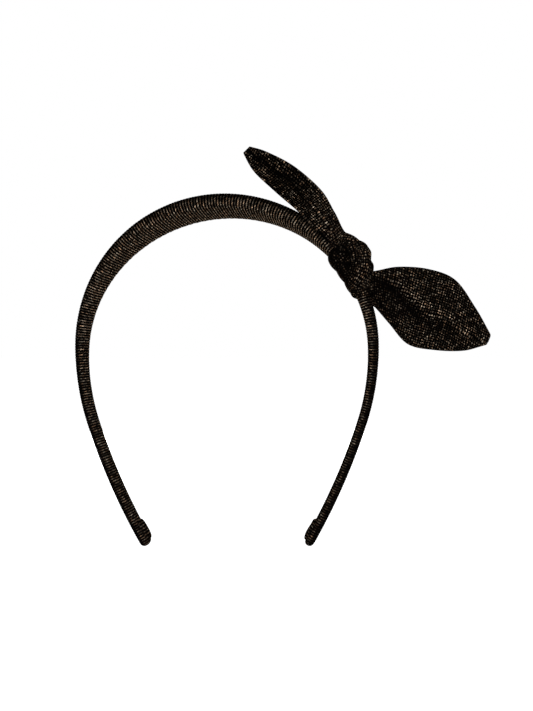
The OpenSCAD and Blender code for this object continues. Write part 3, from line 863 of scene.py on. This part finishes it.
def upper_painted_light(u, v):
    """Painted light and shade on the upper tail: painted shade in the trough and beside the fold near the knot, painted
    highlights on its crests and along the fold near the knot.
    """
    trough = hump(v - 0.43, 0.17) * smooth_step((u - 0.36) / 0.2)
    crest = hump(v - 0.80, 0.12) + 0.5 * hump(v - 0.12, 0.1)
    fold = hump(v - 0.5, 0.07) * smooth_step((0.55 - u) / 0.2)
    beside = hump(v - 0.3, 0.1) * smooth_step((0.5 - u) / 0.2)
    return np.maximum(0.10, 1 - 0.95 * trough + 0.45 * crest + 0.7 * fold - 0.3 * beside)


def ridge_offset(u, v):
    return v - np.interp(u, np.linspace(0, 1, len(RIDGE_LINE)), RIDGE_LINE)


def lower_relief(bow, u, v):
    """Fold and curled edges of the lower tail: the cloth rises to the fold and drops steeply beyond it."""
    offset = ridge_offset(u, v)
    faded = np.sqrt(np.maximum(0, 1 - u)) * np.minimum(1, 3 * u)
    drop = smooth_step(offset / 0.1 + 0.15)
    before = -0.75 * hump(np.minimum(offset, 0), 0.24) * (1 - drop)
    beyond = 0.65 * hump(np.maximum(offset - 0.1, 0), 0.26) * drop
    return bow.ridge_height * faded * (before + beyond) + bow.edge_curl * (2 * v - 1) ** 2 * u


def lower_painted_light(u, v):
    """Painted light and shade on the lower tail: a painted highlight on the fold, painted shade below it, deeper near
    the knot, and a little brighter towards the tip.
    """
    offset = ridge_offset(u, v)
    left = np.sqrt(np.maximum(0, 1 - u))
    lit = hump(offset + 0.03, 0.07) * left
    shaded_below = hump(offset - 0.12, 0.09) * left
    near = smooth_step(offset / 0.08) * smooth_step((0.5 - u) / 0.4)
    return np.maximum(0.10, 0.72 + 1.0 * lit - 0.75 * shaded_below - 0.4 * near + 0.25 * u)


def front_painted_light(t, v):
    """Painted light and shade on the strap that crosses the front of the knot: a bright band along it and shade towards
    one edge, fading towards its tucked-in end.
    """
    return 1.05 + 0.9 * hump(v - 0.35, 0.2) - 0.75 * smooth_step((v - 0.75) / 0.2) * (1 - t)


def neck_painted_light(t, v):
    """Painted shade on the neck behind the knot: its yarn at half brightness."""
    return np.full(v.shape, 0.5)


# Steps for directions along a tail's sheet and along a strap's route, as shares of their length
SHEET_STEP, ROUTE_STEP = 0.01, 0.02
TAIL_ROWS, TAIL_CELLS, TAIL_STRAP_ROWS = 180, 60, 84
STRAP_ROWS, STRAP_CELLS = 110, 34
# How far a strap lies off the wrap, and how far deeper its ends lie
STRAP_LIFT, STRAP_SINK = 0.35, 1.2
# Rounds that even out a strap and the change from tail to strap, and the rows that the change reaches
SOFT_ROUNDS, EASE_ROUNDS, EASE_ROWS = 5, 70, 13.0


def both_faces(v):
    """Shares across a closed cloth, over its front and back again over its rear, and the face that each is on."""
    sign = np.concatenate([np.ones(len(v)), -np.ones(len(v) - 2)])
    sign[[0, len(v) - 1]] = 0
    return np.concatenate([v, v[-2:0:-1]]), sign


def bumps(points, scale):
    return np.array([noise.noise(Vector(p) * scale) for p in points.reshape(-1, 3)]).reshape(points.shape[:-1])


def strap_creases(v, t, *waves):
    """Creases along a strap: waves with their height, how often they cross it and run along it, and their start."""
    return sum(height * np.cos(2 * np.pi * (across * v + along * t + start)) for height, across, along, start in waves)


def near_edges(v, steepness):
    """0 at the edges of a cloth and 1 away from them."""
    return np.minimum(1, steepness * np.minimum(v, 1 - v))


def strap_points(route, facings, sizes, t, v, sign, bulge, fold, closing):
    """A strap on its route, with its bulge and folds, on the face that sign gives, and closing at its ends."""
    way = unit(path_point(route, np.minimum(1, t + ROUTE_STEP)) - path_point(route, np.maximum(0, t - ROUTE_STEP)))
    side = unit(np.cross(path_point(facings, t), way))
    up = np.cross(way, side)
    size = path_point(sizes, t)
    return (path_point(route, t) + side * (size[..., 0] * closing * (1 - 2 * v))[..., None]
            + up * (sign * (size[..., 1] * bulge + fold) * closing)[..., None])


class Tail:
    """One tail and the strap of the knot that it runs into, as one closed cloth."""

    def __init__(self, bow_line, above, below, forms, route, sizes, facings, pleats):
        self.line, self.bow = bow_line, bow_line.bow
        self.above, self.below = above, below
        self.relief, self.shine, self.strap_painted_light = forms
        self.pleats = pleats
        self.root = (above[0] + below[0]) / 2
        side = unit(above[0] - below[0])
        way = above[0] + below[0] - above[1] - below[1]
        self.way = unit(way - np.dot(way, side) * side)
        half_root = np.linalg.norm(above[0] - below[0]) / 2
        near = [self.root + d * self.way for d in (self.bow.tail_gap, self.bow.tail_gap + self.bow.root_run)]
        self.route = np.concatenate([near, route])
        self.sizes = np.concatenate([[[half_root, 0.8 * MM], [half_root, 1.1 * MM]], np.array(sizes) * MM])
        facing = unit(np.cross(self.way, side))
        self.facings = np.concatenate([[facing] * 2, unit(np.array(facings, float))])

    def sheet_point(self, u, v):
        spot = path_point(self.above, u) * (1 - v[..., None]) + path_point(self.below, u) * v[..., None]
        spot[..., 1] += self.relief(self.bow, u, v)
        return spot

    def sheet_facing(self, u, v):
        e = SHEET_STEP
        du = self.sheet_point(np.minimum(1, u + e), v) - self.sheet_point(np.maximum(0, u - e), v)
        dv = self.sheet_point(u, np.minimum(1, v + e)) - self.sheet_point(u, np.maximum(0, v - e))
        return unit(np.cross(du, dv))

    def gathers(self, distance, v):
        """Pleats that fan out from the knot and die away along the tail."""
        fall = np.exp(-distance / (11 * MM)) * smooth_step(distance / (3 * MM) + 0.35)
        waves = np.cos(2 * np.pi * (self.pleats * v + 0.3)) + 0.5 * np.cos(2 * np.pi * (1.7 * self.pleats * v + 0.1))
        return self.bow.pleat_height * fall * waves * np.minimum(1, 6 * v) * np.minimum(1, 6 * (1 - v))

    def tail_rings(self, loop_v, sign):
        """Rings of the tail from its tip to its root, where they lie across the cloth, and their painted light and
        shade.
        """
        u, v = np.meshgrid(1 - np.linspace(0, 1, TAIL_ROWS) ** 1.15, loop_v, indexing="ij")
        spots = self.sheet_point(u, v)
        from_tip = distances(path_point((self.above + self.below) / 2, u[:, 0]))[:, None]
        width = np.linalg.norm(path_point(self.above, u[:, 0]) - path_point(self.below, u[:, 0]), axis=1)[:, None]
        edge = np.minimum(v, 1 - v) * width
        rounded = np.sqrt(1 - (1 - np.clip(edge / (1.1 * MM), 0, 1)) ** 2)
        tip = np.sqrt(1 - (1 - np.clip((from_tip + 0.05 * MM) / (1.2 * MM), 0, 1)) ** 2)
        seam = 1 - 0.22 * hump(edge - 2.2 * MM, 0.9 * MM)
        half = self.bow.tail_half * rounded * tip * seam
        rough = (0.34 * bumps(spots, 130) + 0.10 * bumps(spots, 420)) * MM * np.minimum(1, edge / (3 * MM))
        off = sign * half + self.gathers(from_tip[-1] - from_tip, v) + rough
        return spots + self.sheet_facing(u, v) * off[..., None], (0.5 - v) * width, self.shine(u, v)

    def strap_rings(self, loop_v, sign):
        """The same for the strap, from the root of the tail to the end that is tucked in."""
        t, v = np.meshgrid(np.linspace(0, 1, TAIL_STRAP_ROWS), loop_v, indexing="ij")
        bulge = np.sqrt(np.maximum(0, 1 - np.abs(2 * v - 1) ** (24 - 21.6 * smooth_step(t / 0.3))))
        crease = strap_creases(v, t, (1, 2.1, 0.7, 0.2), (0.4, 3.6, -1.1, 0))
        fold = self.bow.strap_fold * crease * smooth_step(t / 0.25) * near_edges(v, 5) * smooth_step((1 - t) / 0.3)
        closing = np.sqrt(1 - np.clip((t - 0.86) / 0.1405, 0, 1) ** 2)
        points = strap_points(self.route, self.facings, self.sizes, t, v, sign, bulge, fold, closing)
        lift = (STRAP_LIFT - STRAP_SINK * (1 - smooth_step((1 - t) / 0.22))) * MM
        fuller = 1 + 0.25 * smooth_step(t / 0.4)
        across = (0.5 - v) * 2 * path_point(self.sizes, t)[..., 0] * fuller
        return softened(self.line.rest_on_band(points, lift), SOFT_ROUNDS), across, self.strap_painted_light(t, v)

    def make(self, name):
        even = np.linspace(0, 1, TAIL_CELLS + 1)
        faces = both_faces(0.62 * even + 0.38 * (0.5 - 0.5 * np.cos(np.pi * even)))
        points, across, shine = (
            np.concatenate(parts) for parts in zip(self.tail_rings(*faces), self.strap_rings(*faces)))
        points = self.ease(points)
        along = distances(points.mean(1))[:, None]
        return cloth_tube(name, points, along, across, shine=self.ease(shine[..., None])[..., 0])

    def ease(self, points):
        """Rounds the change from tail to strap."""
        weight = hump(np.arange(len(points)) - TAIL_ROWS, EASE_ROWS)[:, None, None] * 0.5
        for _ in range(EASE_ROUNDS):
            before = np.roll(points, 1, 0)
            after = np.roll(points, -1, 0)
            before[0], after[-1] = points[0], points[-1]
            points = points + weight * ((before + after) / 2 - points)
        return points


def bow_line(context):
    settings = context.scene.hair_band
    return BowLine(BandLine(settings.band), settings.bow)


def dress_tail(tail, name, nodes):
    cloth = paint(tail.make(name), "dotted_cloth", "bow_cloth")
    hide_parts(*nodes)
    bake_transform(cloth)


class HAIRBAND_OT_upper_tail(bpy.types.Operator):
    """Make the upper tail and the strap that crosses the front of the knot, as one cloth"""
    bl_idname = "hairband.upper_tail"
    bl_label = "Upper tail"

    def execute(self, context):
        place = bow_line(context)
        above, below, route = (place.from_knot(-1, p) for p in (UPPER_ABOVE, UPPER_BELOW, FRONT_ROUTE))
        tail = Tail(place, above, below, (upper_relief, upper_painted_light, front_painted_light), route, FRONT_SIZE, FRONT_FACING, 3.3)
        dress_tail(tail, "sash_upper_tail",
                   ["upper_tail_front", "upper_tail_stiffener", "upper_tail_back", "knot_front_strap"])
        return {"FINISHED"}


class HAIRBAND_OT_lower_tail(bpy.types.Operator):
    """Make the lower tail and the neck that joins it to the back of the knot, as one cloth"""
    bl_idname = "hairband.lower_tail"
    bl_label = "Lower tail"

    def execute(self, context):
        place = bow_line(context)
        above, below = (
            np.concatenate([place.from_knot(1, root), place.from_knot(0, edge)])
            for root, edge in ((LOWER_ABOVE_ROOT, LOWER_ABOVE), (LOWER_BELOW_ROOT, LOWER_BELOW)))
        tail = Tail(place, above, below, (lower_relief, lower_painted_light, neck_painted_light), place.from_knot(1, NECK_ROUTE),
                    NECK_SIZE, NECK_FACING, 4.2)
        dress_tail(tail, "sash_lower_tail",
                   ["lower_tail_front", "lower_tail_stiffener", "lower_tail_back", "knot_back_neck"])
        return {"FINISHED"}


class HAIRBAND_OT_knot(bpy.types.Operator):
    """Make the wrap round the band and the strap that crosses the outside of the knot"""
    bl_idname = "hairband.knot"
    bl_label = "Knot"
    wrap_sides, wrap_rows, inner_rows = 96, 60, 12
    wrap_slant = 2.2 * MM

    def execute(self, context):
        place = bow_line(context)
        self.make_wrap(place)
        self.make_outer_strap(place)
        return {"FINISHED"}

    def make_wrap(self, place):
        line, bow = place.line, place.bow
        turned = even_angles(line, place.middle, self.wrap_sides)[None, :]

        def surface(t, run, thickness):
            slanted = run - self.wrap_slant * t ** 2 * np.maximum(0, -np.sin(turned))
            return line.place(slanted, *line.section(slanted, turned, thickness))

        t, inner_t = np.linspace(0, 1, self.wrap_rows)[:, None], np.linspace(1, 0, self.inner_rows)[:, None]
        run = line.band.arch_radius * (bow.knot_from + bow.knot_span * t)
        back = np.linspace(run[-1], run[0], self.inner_rows)
        outer = surface(t, run, bow.wrap_gap + place.wrap_full(turned, t))
        points = np.concatenate([outer, surface(inner_t, back, bow.wrap_gap)])
        runs = np.concatenate([run, back])
        uv = np.stack(np.broadcast_arrays(runs, distances(outer[len(outer) // 2])[None, :]), -1)
        # Painted shade and light: the wrap's yarn dim all over, as shade under the straps, with a painted lit band near
        # its far end
        shine = 0.22 + 0.5 * hump((runs - run[-1]) / (run[-1] - run[0]) + 0.12, 0.1)
        wrap = mesh_object(
            "knot_cloth_wrap", points, wall_faces(len(points), self.wrap_sides, True), uv, {"shine": shine})
        paint(wrap, "dotted_cloth", "bow_cloth")
        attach(wrap, "bow_knot")
        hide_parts("knot_wrap")

    def make_outer_strap(self, place):
        route = np.concatenate([
            place.from_knot(1, OUTER_BACK), place.from_knot(0, OUTER_TOP), place.from_knot(-1, OUTER_FRONT)])
        loop_v, sign = both_faces(0.5 - 0.5 * np.cos(np.pi * np.linspace(0, 1, STRAP_CELLS + 1)))
        t, v = np.meshgrid(np.linspace(0, 1, STRAP_ROWS), loop_v, indexing="ij")
        lobe = 0.3 * hump(v - 0.55, 0.2)
        small_bump = 0.45 * smooth_step((0.42 - v) / 0.18)
        bulge = np.sqrt(np.maximum(0, 1 - np.abs(2 * v - 1) ** 2.3))
        bulge = bulge * (1 + lobe - small_bump - 0.4 * hump(v - 0.2, 0.045))
        crease = strap_creases(v, t, (1, 2.0, 0.6, 0), (0.4, 3.4, -0.8, 0))
        fold = 0.6 * place.bow.strap_fold * crease * near_edges(v, 5)
        closing = np.sqrt(1 - np.clip(np.abs(2 * t - 1) / 1.002, 0, 1) ** 14)
        sizes = np.array(OUTER_SIZE) * MM
        points = strap_points(route, OUTER_FACING, sizes, t, v, sign, bulge, fold, closing)
        at_ends = 1 - smooth_step(t / 0.25) * smooth_step((1 - t) / 0.25)
        points = softened(place.rest_on_band(points, (STRAP_LIFT - STRAP_SINK * at_ends) * MM), SOFT_ROUNDS)
        # Painted light: the outer strap's yarn bright over its lit lobe, dim near one edge and towards its end
        shine = 0.45 + 1.5 * smooth_step((v - 0.26) / 0.12) * smooth_step((0.82 - t) / 0.2)
        strap = cloth_tube("knot_cloth_outer_strap", points, distances(path_point(route, t[:, 0]))[:, None],
                           (0.5 - v) * 2.5 * path_point(sizes, t)[..., 0], shine=shine)
        paint(strap, "dotted_cloth", "bow_cloth")
        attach(strap, "bow_knot")
        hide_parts("knot_outer_strap")


# ---- Stage ----


MIDDLE = (0.02, 0, -0.05)
# Name, place, aim, size and power setting of each lamp
LAMPS = (
    ("key", (0.10, -0.62, -0.105), MIDDLE, 0.14, "key"),
    ("fill", (0.42, -0.36, -0.17), (-0.03, 0, 0), 0.2, "fill"),
    ("left side", (-1.1, 0.10, 0.05), MIDDLE, 0.5, "side"),
    ("right side", (1.1, 0.25, 0.10), MIDDLE, 0.5, "side"),
    ("back", (-0.25, 0.95, 0.06), MIDDLE, 0.5, "back"),
    ("overhead", (0.0, 0.35, 1.3), MIDDLE, 0.8, "overhead"),
)
FLOOR_HALF = 30.0
FLOOR_GREY = 0.8
# Glow of the floor near the object and far from it, and the distance from which it is far
NEAR_GLOW, FAR_GLOW, FAR_REACH = 0.80, 1.0, 1.2


def floor_material():
    """A pale floor that shows as white to the camera, wholly so far away, and keeps the shadow near the object."""
    shader = Shader("pale_floor")
    place = shader.add("ShaderNodeTexCoord").outputs["Object"]
    distance = shader.add("ShaderNodeVectorMath", {0: place}, operation="LENGTH").outputs["Value"]
    far = shader.span(distance, 0.4 * FAR_REACH, FAR_REACH)
    level = shader.plus(NEAR_GLOW, shader.times(far, FAR_GLOW - NEAR_GLOW))
    return shader.surface(
        Base_Color=(FLOOR_GREY, FLOOR_GREY, FLOOR_GREY, 1), Roughness=0.9, Specular_IOR_Level=0.0,
        Emission_Color=(1, 1, 1, 1), Emission_Strength=shader.times(shader.seen(), level))


def add_lamp(name, place, aim, size, power):
    data = bpy.data.lights.new(name, "AREA")
    data.shape = "DISK"
    data.size = size
    data.energy = power
    lamp = add_object(name, data)
    lamp.location = place
    lamp.rotation_euler = (Vector(aim) - Vector(place)).to_track_quat("-Z", "Y").to_euler()


class HAIRBAND_OT_stage(bpy.types.Operator):
    """Set up the camera, the soft lights, the pale floor and the white surroundings"""
    bl_idname = "hairband.stage"
    bl_label = "Stage"

    def execute(self, context):
        scene, stage = context.scene, context.scene.hair_band.stage
        scene.view_settings.view_transform = "Standard"
        data = bpy.data.cameras.new("camera")
        data.lens = data.sensor_width * -stage.eye[1] / stage.picture
        data.shift_x = (stage.aim_x - stage.eye[0]) / stage.picture
        scene.camera = add_object("camera", data)
        scene.camera.location = stage.eye
        scene.camera.rotation_euler = (math.pi / 2, 0, 0)
        for name, place, aim, size, setting in LAMPS:
            add_lamp(name, place, aim, size, getattr(stage, setting))

        scene.world = bpy.data.worlds.new("surroundings")
        scene.world.use_nodes = True
        nodes = Nodes(scene.world.node_tree)
        background = nodes.tree.nodes["Background"].inputs
        background["Color"].default_value = (1, 1, 1, 1)
        nodes.put(background["Strength"], nodes.math("MAXIMUM", nodes.seen(), stage.ambient))

        mesh = bpy.data.meshes.new("floor")
        corners = [(x * FLOOR_HALF, y * FLOOR_HALF, stage.floor_z) for x, y in ((-1, -1), (1, -1), (1, 1), (-1, 1))]
        mesh.from_pydata(corners, [], [(0, 1, 2, 3)])
        mesh.materials.append(floor_material())
        add_object("floor", mesh)
        return {"FINISHED"}


# ---- Panel ----


STEPS = ("stage", "springs", "crown", "arms", "tip_folds", "knot", "upper_tail", "lower_tail")


class HAIRBAND_PT_panel(bpy.types.Panel):
    """Buttons that make the hair band"""
    bl_label = "Hair band"
    bl_idname = "HAIRBAND_PT_panel"
    bl_space_type = "VIEW_3D"
    bl_region_type = "UI"
    bl_category = "Hair band"

    def draw(self, context):
        for step in STEPS:
            self.layout.operator(f"hairband.{step}")
        settings = context.scene.hair_band
        for group in (settings.band, settings.bow, settings.cloth, settings.stage):
            box = self.layout.box()
            box.label(text=group.bl_rna.description)
            for key in group.bl_rna.properties.keys():
                if key not in ("rna_type", "name"):
                    box.prop(group, key)


CLASSES = (
    BandSizes, BowSizes, ClothLooks, StageSettings, HairBandSettings,
    HAIRBAND_OT_stage, HAIRBAND_OT_springs, HAIRBAND_OT_crown, HAIRBAND_OT_arms, HAIRBAND_OT_tip_folds,
    HAIRBAND_OT_knot, HAIRBAND_OT_upper_tail, HAIRBAND_OT_lower_tail, HAIRBAND_PT_panel)


def register():
    for cls in CLASSES:
        bpy.utils.register_class(cls)
    bpy.types.Scene.hair_band = PointerProperty(type=HairBandSettings)


def unregister():
    del bpy.types.Scene.hair_band
    for cls in reversed(CLASSES):
        bpy.utils.unregister_class(cls)


def main():
    register()
    for step in STEPS:
        getattr(bpy.ops.hairband, step)()


if __name__ == "__main__":
    main()
